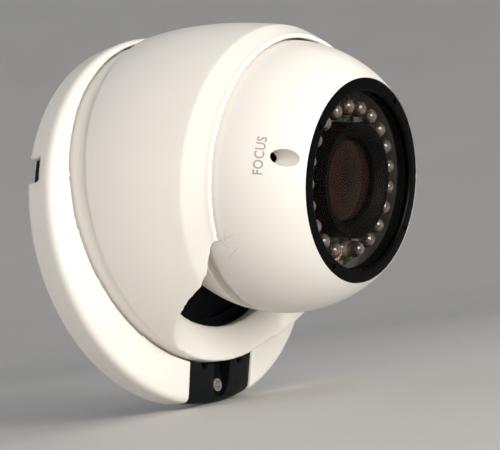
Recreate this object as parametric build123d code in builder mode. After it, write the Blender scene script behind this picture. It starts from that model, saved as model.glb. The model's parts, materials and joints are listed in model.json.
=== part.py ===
from build123d import *
from math import cos, radians, sin
import os

os.makedirs("parts", exist_ok=True)

# ---- driving dimensions, millimetres and degrees ----
RING_RADIUS = 62.0          # trim ring, outside
RING_EDGE_HEIGHT = 10.6     # wall to the ring's soft front edge
RING_SLOPE = 0.26           # rise of the ring's front face per millimetre inward
RING_WALL = 2.4
DRUM_OFFSET = 5.6           # drum axis above the ring axis
FOOT_RADIUS = 54.2          # drum foot, turning in the ring
FOOT_GAP = 0.6
BALL_HEIGHT = 49.2          # ball centre out from the wall
BALL_RADIUS = 42.2
BALL_GAP = 0.7              # ball to drum bore
LENS_TILT = 14.0            # lens axis to wall normal at rest, towards the scoop

WINDOW_HALF_WIDTH = 15.4    # window in the ring where the lock block shows
PLATE_HEIGHT = 3.2          # mounting base
CHASSIS_BOTTOM = 3.5
CHASSIS_TOP = 4.8
HUB_RADIUS = 45.95
HUB_TOP = 8.8
FLANGE_BORE = 46.0
FLANGE_BOTTOM = 5.3
FLANGE_TOP = 8.6
SLEEVE_BOTTOM = 11.6
RIDGE_HEIGHT = 19.2
RIDGE_RADIUS = 55.1
DRUM_WALL = 3.2
SCOOP_FLOOR = 16.7
SCOOP_CORNER = 22.0
SCOOP_HALF_WIDTH = 37.0
SCOOP_FLARE = 44.0          # height where the scoop starts to open out
SCOOP_TOP = 60.0

LIP_HEIGHT = 6.0            # mouth lip in front of the ball's equator, along the lens
LIP_RADIUS = 43.9
COLLAR_HEIGHT = 7.0
SHOULDER_HEIGHT = 0.5
SHOULDER_RADIUS = 48.2
SHOULDER_SHIFT = 1.5

BALL_WALL = 4.2
GROOVE_DEPTH = 2.6
GROOVE_HALF_WIDTH = 2.3
REAR_FLAT = 30.0            # ball's rear opening, behind its centre
BEZEL_RADIUS = 30.0
BEZEL_FRONT = 29.6
BEZEL_BORE = 26.1
GLASS_RADIUS = 27.6
GLASS_THICKNESS = 1.2
HOOD_RADIUS = 17.2
HOOD_BORE = 12.7
LED_CIRCLE = 21.7
LED_POSITIONS = 21
LED_RADIUS = 2.5
ADJUSTER_TURN = 99.0        # adjuster holes, around the lens from the scoop side

# ---- frames: x towards the scoop and window, z out from the wall ----
WALL = Plane(origin=(0, 0, 0), x_dir=(0, 0, -1), z_dir=(0, -1, 0))
DRUM = Plane(origin=(0, 0, DRUM_OFFSET), x_dir=(0, 0, -1), z_dir=(0, -1, 0))
tilt = radians(LENS_TILT)
BALL = Plane(
    origin=(0, -BALL_HEIGHT, DRUM_OFFSET),
    x_dir=(0, sin(tilt), -cos(tilt)),
    z_dir=(0, -cos(tilt), -sin(tilt)),
)
CENTRE = BALL.origin


def section(frame):
    """Half-plane of a frame: x is the radius, y is the height along its axis."""
    return Plane(origin=frame.origin, x_dir=frame.x_dir, z_dir=-frame.y_dir)


def turn(frame, *points, mode=Mode.ADD):
    """Revolve a closed outline of (radius, height) points about a frame's axis."""
    with BuildSketch(section(frame)) as profile:
        with BuildLine():
            Polyline(*points, close=True)
        make_face()
    revolve(profile.sketch, axis=Axis(frame.origin, frame.z_dir), mode=mode)


def tube(frame, outer, inner, low, high, mode=Mode.ADD):
    """A plain ring between two heights."""
    turn(frame, (inner, low), (outer, low), (outer, high), (inner, high), mode=mode)


def disc(frame, radius, low, high, mode=Mode.ADD, at=((0, 0),)):
    """Round posts or holes at places in a frame, between two heights."""
    with BuildSketch(frame.offset(low)) as spots:
        with Locations(*at):
            Circle(radius)
    extrude(spots.sketch, amount=high - low, mode=mode)


def block(frame, x_low, x_high, half_width, low, high, mode=Mode.ADD):
    """A box across the mirror plane."""
    with BuildSketch(frame.offset(low)) as base:
        with Locations(((x_low + x_high) / 2, 0)):
            Rectangle(x_high - x_low, 2 * half_width)
    extrude(base.sketch, amount=high - low, mode=mode)


def ball_cut(radius, mode=Mode.SUBTRACT):
    """A sphere about the ball's centre."""
    with Locations(CENTRE):
        Sphere(radius, mode=mode)


def around(radius, count, start=0.0):
    """Points on a circle, measured from the scoop side."""
    return [
        (radius * cos(radians(start + 360 * i / count)), radius * sin(radians(start + 360 * i / count)))
        for i in range(count)
    ]


def save(piece, name):
    """Label a finished piece and write it."""
    piece.part.label = name
    export_step(piece.part, f"parts/{name}.step")


def screw(frame, spots, shank, length, head, head_height, seat):
    """Screws with a low round head and a hexagon socket, heads resting at a height."""
    disc(frame, shank, seat - length, seat, at=spots)
    disc(frame, head, seat, seat + head_height, at=spots)
    with BuildSketch(frame.offset(seat + head_height)) as sockets:
        with Locations(*spots):
            RegularPolygon(head * 0.58, 6)
    extrude(sockets.sketch, amount=-head_height * 0.6, mode=Mode.SUBTRACT)


def outer_height(radius):
    """Height of the ring's front face at a radius."""
    return RING_EDGE_HEIGHT + RING_SLOPE * (RING_RADIUS - radius)


# ---- mounting base: black moulded plate screwed to the wall ----
MOUNT_CIRCLE = 40.0
MOUNT_HOLE = 2.25
CABLE_HOLE = 14.0
PLATE_RADIUS = RING_RADIUS - RING_WALL - 0.3
with BuildPart() as mounting_base:
    disc(WALL, PLATE_RADIUS, 0, PLATE_HEIGHT)
    disc(WALL, CABLE_HOLE, 0, PLATE_HEIGHT, mode=Mode.SUBTRACT)
    disc(WALL, MOUNT_HOLE, 0, PLATE_HEIGHT, mode=Mode.SUBTRACT, at=around(MOUNT_CIRCLE, 3, 60))
    tube(WALL, 55.0, 44.0, PLATE_HEIGHT - 1.2, PLATE_HEIGHT, mode=Mode.SUBTRACT)
    with BuildSketch(WALL) as pockets:
        Circle(33.0)
        Circle(18.5, mode=Mode.SUBTRACT)
        with PolarLocations(26, 6):
            Rectangle(20, 2.4, mode=Mode.SUBTRACT)
    extrude(pockets.sketch, amount=PLATE_HEIGHT / 2, mode=Mode.SUBTRACT)
save(mounting_base, "mounting_base")

# ---- lock block: stands on the base and shows in the ring's window ----
BLOCK_INNER = 45.0
BLOCK_OUTER = RING_RADIUS - 0.4
BLOCK_TOP = 13.4
RECESS_HALF_WIDTH = 3.9
RECESS_FLOOR = 8.2
SCREW_RADIUS_AT = 56.2
with BuildPart() as lock_block:
    disc(WALL, BLOCK_OUTER, PLATE_HEIGHT, BLOCK_TOP)
    block(WALL, BLOCK_INNER, RING_RADIUS, WINDOW_HALF_WIDTH - 0.3, PLATE_HEIGHT, BLOCK_TOP, mode=Mode.INTERSECT)
    disc(DRUM, FOOT_RADIUS + FOOT_GAP, PLATE_HEIGHT, BLOCK_TOP, mode=Mode.SUBTRACT)
    turn(
        WALL,
        (RING_RADIUS + 1, outer_height(RING_RADIUS) - 3.4),
        (BLOCK_OUTER - 1.2, outer_height(BLOCK_OUTER) - 0.7),
        (BLOCK_INNER - 2, outer_height(BLOCK_INNER - 2) - 0.3),
        (BLOCK_INNER - 2, BLOCK_TOP + 5),
        (RING_RADIUS + 1, BLOCK_TOP + 5),
        mode=Mode.SUBTRACT,
    )
    with BuildSketch(WALL.offset(RECESS_FLOOR)) as recess:
        with Locations((SCREW_RADIUS_AT - 6, 0)):
            Rectangle(12, 2 * RECESS_HALF_WIDTH)
        with Locations((SCREW_RADIUS_AT, 0)):
            Circle(RECESS_HALF_WIDTH)
    extrude(recess.sketch, amount=BLOCK_TOP, mode=Mode.SUBTRACT)
    disc(WALL, 1.55, PLATE_HEIGHT, RECESS_FLOOR, mode=Mode.SUBTRACT, at=((SCREW_RADIUS_AT, 0),))
    disc(DRUM, 1.4, 10.4, BLOCK_TOP + 3, mode=Mode.SUBTRACT, at=((54.4, -8.6), (54.4, 8.6)))
save(lock_block, "lock_block")

# ---- lock screw: loosened from the front to free the camera from its base ----
with BuildPart() as lock_screw:
    screw(WALL, ((SCREW_RADIUS_AT, 0),), 1.5, RECESS_FLOOR - PLATE_HEIGHT - 0.3, 2.1, 1.6, RECESS_FLOOR + 0.05)
save(lock_screw, "lock_screw")

# ---- trim ring: painted cover ring with the window and a pry notch ----
NOTCH_TURN = -104.5
with BuildPart() as trim_ring:
    turn(
        WALL,
        (RING_RADIUS - RING_WALL, 0.4),
        (RING_RADIUS, 0.4),
        (RING_RADIUS, RING_EDGE_HEIGHT - 0.8),
        (RING_RADIUS - 0.7, RING_EDGE_HEIGHT),
        (47, outer_height(47)),
        (47, outer_height(47) - 2.2),
        (RING_RADIUS - RING_WALL, outer_height(RING_RADIUS) - 1.6),
    )
    disc(DRUM, FOOT_RADIUS + FOOT_GAP, 0, 20, mode=Mode.SUBTRACT)
    block(WALL, 40, 70, WINDOW_HALF_WIDTH, 0, 20, mode=Mode.SUBTRACT)
    with BuildSketch(section(WALL)) as notch:
        with Locations((RING_RADIUS, 0)):
            Rectangle(6, 10)
    revolve(
        notch.sketch.rotate(Axis(WALL.origin, WALL.z_dir), NOTCH_TURN - 3.7),
        axis=Axis(WALL.origin, WALL.z_dir),
        revolution_arc=7.4,
        mode=Mode.SUBTRACT,
    )
save(trim_ring, "trim_ring")

# ---- pan chassis: plate and hub that carry the drum ----
RETAINER_CIRCLE = 43.2
GROMMET_BORE = 5.5
with BuildPart() as pan_chassis:
    disc(WALL, PLATE_RADIUS, CHASSIS_BOTTOM, CHASSIS_TOP)
    block(WALL, 47, 70, WINDOW_HALF_WIDTH, 0, 20, mode=Mode.SUBTRACT)
    tube(DRUM, HUB_RADIUS, HUB_RADIUS - 6.2, CHASSIS_BOTTOM, HUB_TOP)
    disc(WALL, 8.0, CHASSIS_BOTTOM, CHASSIS_TOP, mode=Mode.SUBTRACT)
    disc(DRUM, 1.25, 5.0, HUB_TOP, mode=Mode.SUBTRACT, at=around(RETAINER_CIRCLE, 4, 45))
save(pan_chassis, "pan_chassis")

with BuildPart() as cable_grommet:
    tube(WALL, 7.98, GROMMET_BORE, CHASSIS_BOTTOM - 0.2, CHASSIS_TOP + 0.2)
    tube(WALL, 10.0, GROMMET_BORE, CHASSIS_TOP, CHASSIS_TOP + 1.0)
save(cable_grommet, "cable_grommet")

with BuildPart() as pan_washer:
    tube(DRUM, 52.6, 46.4, CHASSIS_TOP, FLANGE_BOTTOM - 0.1)
    block(WALL, 46.5, 70, WINDOW_HALF_WIDTH + 0.3, 0, 20, mode=Mode.SUBTRACT)
save(pan_washer, "pan_washer")

RETAINER_TOP = HUB_TOP + 1.4
with BuildPart() as pan_retainers:
    tube(DRUM, 49.0, 41.0, HUB_TOP, RETAINER_TOP)
    with BuildSketch(DRUM.offset(HUB_TOP)) as keep:
        with PolarLocations(RETAINER_CIRCLE + 1, 4, start_angle=45):
            Rectangle(20, 26)
    extrude(keep.sketch, amount=2, mode=Mode.INTERSECT)
    disc(DRUM, 1.4, HUB_TOP, RETAINER_TOP, mode=Mode.SUBTRACT, at=around(RETAINER_CIRCLE, 4, 45))
save(pan_retainers, "pan_retainers")

with BuildPart() as pan_screws:
    screw(DRUM, around(RETAINER_CIRCLE, 4, 45), 1.2, 5.0, 2.2, 1.1, RETAINER_TOP)
save(pan_screws, "pan_screws")

# ---- drum: painted casting with a tilted mouth and a scoop cut for tilting ----
SHOULDER = Plane(
    origin=CENTRE + BALL.z_dir * SHOULDER_HEIGHT + BALL.x_dir * SHOULDER_SHIFT,
    x_dir=BALL.x_dir,
    z_dir=BALL.z_dir,
)
half_tilt = radians(LENS_TILT * 0.45)
WAIST = Plane(
    origin=(0, -(RIDGE_HEIGHT * 0.52 + (BALL_HEIGHT + SHOULDER_HEIGHT) * 0.48), DRUM_OFFSET - 0.3),
    x_dir=(0, sin(half_tilt), -cos(half_tilt)),
    z_dir=(0, -cos(half_tilt), -sin(half_tilt)),
)
PIN_RADIUS = 1.9
PIN_TIP = 46.4
with BuildPart() as drum_shell:
    disc(DRUM, FOOT_RADIUS, FLANGE_BOTTOM, RIDGE_HEIGHT)
    with BuildSketch(DRUM.offset(RIDGE_HEIGHT - 0.6)) as ridge:
        Circle(RIDGE_RADIUS)
    with BuildSketch(WAIST) as waist:
        Circle((RIDGE_RADIUS + SHOULDER_RADIUS) / 2 + 1.0)
    with BuildSketch(SHOULDER) as shoulder:
        Circle(SHOULDER_RADIUS)
    loft([ridge.sketch, waist.sketch, shoulder.sketch])
    with BuildSketch(BALL.offset(LIP_HEIGHT)) as lip:
        Circle(LIP_RADIUS)
    loft([shoulder.sketch, lip.sketch], ruled=True)
    disc(BALL, LIP_RADIUS - 0.2, LIP_HEIGHT - 0.5, COLLAR_HEIGHT)
    bore = BALL_RADIUS + BALL_GAP
    disc(DRUM, FLANGE_BORE, FLANGE_BOTTOM, FLANGE_TOP, mode=Mode.SUBTRACT)
    disc(DRUM, FOOT_RADIUS - DRUM_WALL, FLANGE_TOP, SLEEVE_BOTTOM, mode=Mode.SUBTRACT)
    disc(DRUM, bore, SLEEVE_BOTTOM, BALL_HEIGHT, mode=Mode.SUBTRACT)
    ball_cut(bore)
    tube(DRUM, FOOT_RADIUS - DRUM_WALL, bore + 2.5, SLEEVE_BOTTOM, SCOOP_FLOOR - 2.8, mode=Mode.SUBTRACT)
    with BuildSketch(section(DRUM)) as core:
        with BuildLine():
            Polyline(
                (bore + 2.5, SLEEVE_BOTTOM),
                (FOOT_RADIUS - DRUM_WALL, SLEEVE_BOTTOM),
                (FOOT_RADIUS - DRUM_WALL, 24.0),
                (bore + 4.5, 34.0),
                (bore + 2.5, 34.0),
                close=True,
            )
        make_face()
    revolve(
        core.sketch.rotate(Axis(DRUM.origin, DRUM.z_dir), 72),
        axis=Axis(DRUM.origin, DRUM.z_dir),
        revolution_arc=216,
        mode=Mode.SUBTRACT,
    )
    side = Plane(origin=DRUM.origin, x_dir=DRUM.y_dir, z_dir=DRUM.x_dir)
    with BuildSketch(side.offset(20)) as scoop:
        with BuildLine():
            Polyline(
                (-SCOOP_HALF_WIDTH, SCOOP_FLOOR),
                (SCOOP_HALF_WIDTH, SCOOP_FLOOR),
                (SCOOP_HALF_WIDTH, SCOOP_FLARE),
                (SCOOP_HALF_WIDTH + 7, SCOOP_TOP),
                (-SCOOP_HALF_WIDTH - 7, SCOOP_TOP),
                (-SCOOP_HALF_WIDTH, SCOOP_FLARE),
                close=True,
            )
        make_face()
        fillet(scoop.vertices().group_by(Axis.Y)[0], SCOOP_CORNER)
    extrude(scoop.sketch, amount=50, mode=Mode.SUBTRACT)
    across = Plane(origin=CENTRE, x_dir=DRUM.x_dir, z_dir=(1, 0, 0))
    disc(across, PIN_RADIUS + 0.05, -PIN_TIP - 0.3, PIN_TIP + 0.3, mode=Mode.SUBTRACT)
save(drum_shell, "drum_shell")

# ---- friction seat: rubber C-ring behind the ball ----
with BuildPart() as ball_seat:
    turn(DRUM, (36.2, 24), (bore - 0.02, 24), (bore - 0.02, 29), (36.2, 29))
    ball_cut(BALL_RADIUS + 0.3)
    block(DRUM, 16, 60, 45, 0, 60, mode=Mode.SUBTRACT)
save(ball_seat, "ball_seat")

# ---- tilt shoes: trunnions in the drum, guide arcs in the ball's groove ----
SHOE_HALF_WIDTH = GROOVE_HALF_WIDTH - 0.3
SHOE_INNER = BALL_RADIUS - GROOVE_DEPTH + 0.3
with BuildPart() as tilt_shoes:
    tube(BALL, BALL_RADIUS - 0.2, SHOE_INNER, -SHOE_HALF_WIDTH, SHOE_HALF_WIDTH)
    block(BALL, -19, 19, 60, -10, 10, mode=Mode.INTERSECT)
    disc(across, PIN_RADIUS, BALL_RADIUS - 1.5, PIN_TIP)
    disc(across, PIN_RADIUS, -PIN_TIP, 1.5 - BALL_RADIUS)
save(tilt_shoes, "tilt_shoes")

# ---- ball: two painted shells screwed together at the equator ----
BOSS_CIRCLE = 34.5
BOSS_RADIUS = 3.2
BOSS_SEAT = -19.0
BOSS_SPOTS = around(BOSS_CIRCLE, 3)
ADJUSTER_CIRCLE = 33.9
ADJUSTER_SPOTS = (around(ADJUSTER_CIRCLE, 1, -ADJUSTER_TURN)[0], around(ADJUSTER_CIRCLE, 1, ADJUSTER_TURN)[0])
ADJUSTER_BORE = 2.4
BACK_PLATE = 2.8
with BuildPart() as ball_cavity:
    ball_cut(BALL_RADIUS - BALL_WALL, mode=Mode.ADD)
    disc(BALL, BALL_RADIUS, -BALL_RADIUS, BACK_PLATE - REAR_FLAT, mode=Mode.SUBTRACT)

with BuildPart() as ball_front_shell:
    ball_cut(BALL_RADIUS, mode=Mode.ADD)
    add(ball_cavity.part, mode=Mode.SUBTRACT)
    disc(BALL, BOSS_RADIUS, 0, 16, at=BOSS_SPOTS)
    disc(BALL, 60, -60, 0, mode=Mode.SUBTRACT)
    disc(BALL, BEZEL_RADIUS + 0.02, 24.8, 60, mode=Mode.SUBTRACT)
    tube(BALL, 60, BALL_RADIUS - GROOVE_DEPTH, -1, GROOVE_HALF_WIDTH, mode=Mode.SUBTRACT)
    disc(BALL, 1.25, 0, 12, mode=Mode.SUBTRACT, at=BOSS_SPOTS)
    disc(BALL, ADJUSTER_BORE, 5, 60, mode=Mode.SUBTRACT, at=ADJUSTER_SPOTS)
save(ball_front_shell, "ball_front_shell")

REAR_HOLE = 6.0
with BuildPart() as ball_rear_shell:
    ball_cut(BALL_RADIUS, mode=Mode.ADD)
    add(ball_cavity.part, mode=Mode.SUBTRACT)
    disc(BALL, BOSS_RADIUS, BOSS_SEAT - 2, 0, at=BOSS_SPOTS)
    ball_cut(BALL_RADIUS, mode=Mode.INTERSECT)
    disc(BALL, 60, 0, 60, mode=Mode.SUBTRACT)
    disc(BALL, 60, -60, -REAR_FLAT, mode=Mode.SUBTRACT)
    tube(BALL, 60, BALL_RADIUS - GROOVE_DEPTH, -GROOVE_HALF_WIDTH, 1, mode=Mode.SUBTRACT)
    disc(BALL, 1.6, BOSS_SEAT, 0, mode=Mode.SUBTRACT, at=BOSS_SPOTS)
    disc(BALL, 2.7, -60, BOSS_SEAT, mode=Mode.SUBTRACT, at=BOSS_SPOTS)
    disc(BALL, REAR_HOLE, -60, -20, mode=Mode.SUBTRACT)
save(ball_rear_shell, "ball_rear_shell")

BEHIND = Plane(origin=CENTRE, x_dir=BALL.x_dir, z_dir=-BALL.z_dir)
with BuildPart() as ball_screws:
    screw(BEHIND, BOSS_SPOTS, 1.2, 28.0, 2.4, 1.8, -BOSS_SEAT)
save(ball_screws, "ball_screws")

with BuildPart() as rear_grommet:
    tube(BALL, REAR_HOLE - 0.02, 4.0, -REAR_FLAT - 0.6, BACK_PLATE - REAR_FLAT + 0.6)
    tube(BALL, REAR_HOLE + 1.5, 4.0, BACK_PLATE - REAR_FLAT, BACK_PLATE - REAR_FLAT + 0.8)
save(rear_grommet, "rear_grommet")

# ---- window: bezel screwed into the ball, flat glass and its gasket ----
GLASS_FRONT = BEZEL_FRONT - 1.0
GLASS_BACK = GLASS_FRONT - GLASS_THICKNESS
with BuildPart() as bezel_ring:
    turn(
        BALL,
        (GLASS_RADIUS + 0.1, 24.9),
        (BEZEL_RADIUS, 24.9),
        (BEZEL_RADIUS, BEZEL_FRONT),
        (BEZEL_BORE + 0.4, BEZEL_FRONT),
        (BEZEL_BORE, BEZEL_FRONT - 0.4),
        (BEZEL_BORE, GLASS_FRONT + 0.05),
        (GLASS_RADIUS + 0.1, GLASS_FRONT + 0.05),
    )
    disc(BALL, 0.8, BEZEL_FRONT - 1.6, BEZEL_FRONT, mode=Mode.SUBTRACT, at=around(28.3, 4, 60))
save(bezel_ring, "bezel_ring")

with BuildPart() as window_glass:
    disc(BALL, GLASS_RADIUS, GLASS_BACK, GLASS_FRONT)
save(window_glass, "window_glass")

with BuildPart() as window_gasket:
    tube(BALL, GLASS_RADIUS, BEZEL_BORE, 24.9, GLASS_BACK)
save(window_gasket, "window_gasket")

# ---- infrared board: ring of clear emitters and a light sensor ----
BOARD_BACK = 17.4
BOARD_FRONT = 19.0
LED_DOME = 23.6
with BuildPart() as led_board:
    tube(BALL, 27.0, HOOD_RADIUS + 0.3, BOARD_BACK, BOARD_FRONT)
save(led_board, "led_board")

LED_SPOTS = around(LED_CIRCLE, LED_POSITIONS)
with BuildPart() as ir_leds:
    disc(BALL, LED_RADIUS + 0.4, BOARD_FRONT, BOARD_FRONT + 1, at=LED_SPOTS[1:])
    disc(BALL, LED_RADIUS, BOARD_FRONT + 1, LED_DOME, at=LED_SPOTS[1:])
    with Locations(BALL.offset(LED_DOME)):
        with Locations(*LED_SPOTS[1:]):
            Sphere(LED_RADIUS)
save(ir_leds, "ir_leds")

with BuildPart() as light_sensor:
    disc(BALL, 2.55, BOARD_FRONT, BOARD_FRONT + 2, at=LED_SPOTS[:1])
save(light_sensor, "light_sensor")

# ---- lens hood: black rubber tube between the lens and the glass ----
with BuildPart() as lens_hood:
    turn(
        BALL,
        (16.0, 10.5),
        (HOOD_RADIUS, 12),
        (HOOD_RADIUS, GLASS_BACK - 0.1),
        (HOOD_RADIUS - 1.6, GLASS_BACK - 0.1),
        (HOOD_BORE, GLASS_BACK - 2.6),
        (HOOD_BORE, 23),
        (HOOD_BORE + 1.4, 21),
        (HOOD_BORE + 1.4, 10.5),
    )
save(lens_hood, "lens_hood")

# ---- varifocal lens: fixed barrel with geared focus and zoom rings ----
BARREL_RADIUS = 12.0
FRAME_BACK = -13.0
FRAME_FRONT = -11.5
with BuildPart() as lens_barrel:
    tube(BALL, BARREL_RADIUS, 10.6, FRAME_FRONT + 1.5, 21.6)
    tube(BALL, BARREL_RADIUS + 0.6, 9.6, 21.6, 22.8)
    tube(BALL, 17.0, 7.0, FRAME_FRONT, FRAME_FRONT + 1.5)
    tube(BALL, 8.5, 7.0, FRAME_BACK - 3.5, FRAME_FRONT)
save(lens_barrel, "lens_barrel")

with BuildPart() as front_lens:
    with Locations(BALL.offset(4.5)):
        Sphere(17.0)
    disc(BALL, 10.55, 16.4, 60, mode=Mode.INTERSECT)
save(front_lens, "front_lens")

with BuildPart() as rear_lens:
    disc(BALL, 6.95, FRAME_BACK - 2.5, FRAME_BACK + 1.5)
save(rear_lens, "rear_lens")

MODULE = 0.6
RING_TEETH = 48
IDLER_TEETH = 28
PINION_TEETH = 9
IDLER_CIRCLE = MODULE * (RING_TEETH + IDLER_TEETH) / 2
FOCUS_GEAR = -2.0
ZOOM_GEAR = -8.6
GEAR_WIDTH = 3.6


def gear(teeth, spot, direction, low, bore_radius, gap_first=False):
    """Spur gear with short straight-sided teeth; one tooth (or gap) faces a direction in degrees."""
    pitch = MODULE * teeth / 2
    root = pitch - 0.62 * MODULE
    crown = pitch + 0.48 * MODULE
    start = direction + (180 / teeth if gap_first else 0)
    with BuildSketch(BALL.offset(low)) as teeth_face:
        with Locations(spot):
            Circle(root)
            with PolarLocations((root + crown) / 2 - 0.05, teeth, start_angle=start):
                Trapezoid(1.35 * MODULE, crown - root + 0.1, 76, rotation=-90)
            Circle(bore_radius, mode=Mode.SUBTRACT)
    extrude(teeth_face.sketch, amount=GEAR_WIDTH)


def drive_train(side, low, name):
    """Lens ring, idler and screwdriver adjuster of one function, at one side of the lens."""
    turn_to = side * ADJUSTER_TURN
    idler_spot = around(IDLER_CIRCLE, 1, turn_to)[0]
    shaft_spot = around(ADJUSTER_CIRCLE, 1, turn_to)[0]
    with BuildPart() as ring:
        gear(RING_TEETH, (0, 0), turn_to, low, BARREL_RADIUS + 0.06)
        tube(BALL, BARREL_RADIUS + 1.3, BARREL_RADIUS + 0.06, low, low + 5.6)
    save(ring, f"{name}_ring")
    with BuildPart() as idler:
        gear(IDLER_TEETH, idler_spot, turn_to, low, 1.26, gap_first=True)
    save(idler, f"{name}_idler")
    with BuildPart() as adjuster:
        gear(PINION_TEETH, shaft_spot, turn_to + 180, low, 0.4)
        disc(BALL, 1.5, FRAME_BACK - 0.6, 4, at=(shaft_spot,))
        disc(BALL, 1.8, 4, 7.5, at=(shaft_spot,))
        with BuildSketch(BALL.offset(7.5)) as slot:
            with Locations(shaft_spot):
                Rectangle(0.7, 3.4)
        extrude(slot.sketch, amount=-1, mode=Mode.SUBTRACT)
    save(adjuster, f"{name}_adjuster")


drive_train(-1, FOCUS_GEAR, "focus")
drive_train(1, ZOOM_GEAR, "zoom")

# ---- inner frame: carries the lens, the idler pins, the boards and the emitters ----
IDLER_SPOTS = [around(IDLER_CIRCLE, 1, side * ADJUSTER_TURN)[0] for side in (-1, 1)]
STANDOFF_SPOTS = around(18.5, 4, 45)
POST_SPOTS = around(22.5, 3, 180)
with BuildPart() as inner_frame:
    disc(BALL, 35.2, FRAME_BACK, FRAME_FRONT)
    disc(BALL, 12.3, FRAME_BACK, FRAME_FRONT, mode=Mode.SUBTRACT)
    disc(BALL, BOSS_RADIUS + 0.4, FRAME_BACK, FRAME_FRONT, mode=Mode.SUBTRACT, at=BOSS_SPOTS)
    disc(BALL, 1.55, FRAME_BACK, FRAME_FRONT, mode=Mode.SUBTRACT, at=ADJUSTER_SPOTS)
    disc(BALL, 2.0, FRAME_FRONT, BOARD_BACK, at=POST_SPOTS)
    disc(BALL, 1.2, FRAME_FRONT, FOCUS_GEAR + GEAR_WIDTH + 1, at=IDLER_SPOTS)
    disc(BALL, 2.2, FRAME_FRONT, FOCUS_GEAR - 0.2, at=IDLER_SPOTS[:1])
    disc(BALL, 2.2, FRAME_FRONT, ZOOM_GEAR - 0.2, at=IDLER_SPOTS[1:])
save(inner_frame, "inner_frame")

with BuildPart() as adjuster_guides:
    for spot in ADJUSTER_SPOTS:
        disc(BALL, ADJUSTER_BORE - 0.02, 4.4, 18, at=(spot,))
        disc(BALL, 2.05, 4.4, 18, at=(spot,), mode=Mode.SUBTRACT)
    with Locations(CENTRE):
        Sphere(BALL_RADIUS - 0.5, mode=Mode.INTERSECT)
save(adjuster_guides, "adjuster_guides")

# ---- sensor stack: holder, sliding infrared-cut filter, sensor and board ----
HOLDER_BACK = -23.4
FILTER_SLOT = -20.6
FILTER_TRAVEL = 8.0
with BuildPart() as lens_holder:
    block(BALL, -14, 14, 11, HOLDER_BACK, FRAME_BACK)
    disc(BALL, 8.52, FRAME_BACK - 4, FRAME_BACK, mode=Mode.SUBTRACT)
    disc(BALL, 6.2, HOLDER_BACK, FRAME_BACK, mode=Mode.SUBTRACT)
    block(BALL, -12.8, 13.0, 6.6, FILTER_SLOT, FILTER_SLOT + 1.6, mode=Mode.SUBTRACT)
    block(BALL, -5, 5, 5, HOLDER_BACK, HOLDER_BACK + 1.5, mode=Mode.SUBTRACT)
save(lens_holder, "lens_holder")

with BuildPart() as ir_cut_filter:
    block(BALL, -12.4, 4.4, 6.2, FILTER_SLOT + 0.4, FILTER_SLOT + 1.2)
save(ir_cut_filter, "ir_cut_filter")

with BuildPart() as sensor_board:
    block(BALL, -16, 16, 16, HOLDER_BACK - 1.3, HOLDER_BACK - 0.1)
    disc(BALL, 1.1, HOLDER_BACK - 2, HOLDER_BACK, mode=Mode.SUBTRACT, at=STANDOFF_SPOTS)
save(sensor_board, "sensor_board")

with BuildPart() as image_sensor:
    block(BALL, -4.2, 4.2, 4.2, HOLDER_BACK - 0.1, HOLDER_BACK + 1.0)
save(image_sensor, "image_sensor")

with BuildPart() as board_standoffs:
    disc(BALL, 1.8, HOLDER_BACK - 0.1, FRAME_BACK, at=STANDOFF_SPOTS)
    disc(BALL, 0.9, HOLDER_BACK - 0.1, HOLDER_BACK + 6, mode=Mode.SUBTRACT, at=STANDOFF_SPOTS)
save(board_standoffs, "board_standoffs")

with BuildPart() as board_screws:
    screw(BEHIND, STANDOFF_SPOTS, 0.85, 5.0, 1.8, 1.0, 1.3 - HOLDER_BACK)
save(board_screws, "board_screws")
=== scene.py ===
import json

import bpy
import numpy as np
from mathutils import Matrix, Vector


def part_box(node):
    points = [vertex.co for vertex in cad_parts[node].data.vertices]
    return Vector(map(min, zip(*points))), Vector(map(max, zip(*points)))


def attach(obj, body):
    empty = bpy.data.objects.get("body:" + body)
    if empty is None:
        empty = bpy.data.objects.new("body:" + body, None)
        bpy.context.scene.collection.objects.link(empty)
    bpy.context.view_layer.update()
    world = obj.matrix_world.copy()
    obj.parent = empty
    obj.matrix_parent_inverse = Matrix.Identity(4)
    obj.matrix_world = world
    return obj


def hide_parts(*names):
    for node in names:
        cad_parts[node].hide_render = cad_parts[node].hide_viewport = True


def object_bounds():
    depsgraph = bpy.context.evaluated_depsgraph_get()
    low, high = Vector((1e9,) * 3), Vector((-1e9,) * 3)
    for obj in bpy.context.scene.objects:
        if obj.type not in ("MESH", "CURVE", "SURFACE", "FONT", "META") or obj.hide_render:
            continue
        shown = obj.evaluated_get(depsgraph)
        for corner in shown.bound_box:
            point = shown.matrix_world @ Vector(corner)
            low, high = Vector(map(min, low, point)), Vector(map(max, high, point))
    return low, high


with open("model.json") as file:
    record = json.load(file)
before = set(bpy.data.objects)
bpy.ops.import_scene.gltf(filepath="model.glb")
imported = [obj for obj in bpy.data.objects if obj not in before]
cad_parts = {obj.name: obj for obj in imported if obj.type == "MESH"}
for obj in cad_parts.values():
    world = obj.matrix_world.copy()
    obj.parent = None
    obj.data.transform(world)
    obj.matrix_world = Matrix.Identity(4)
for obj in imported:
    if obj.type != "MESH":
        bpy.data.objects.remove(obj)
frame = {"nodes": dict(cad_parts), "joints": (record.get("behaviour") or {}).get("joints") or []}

cad_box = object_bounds()

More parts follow.
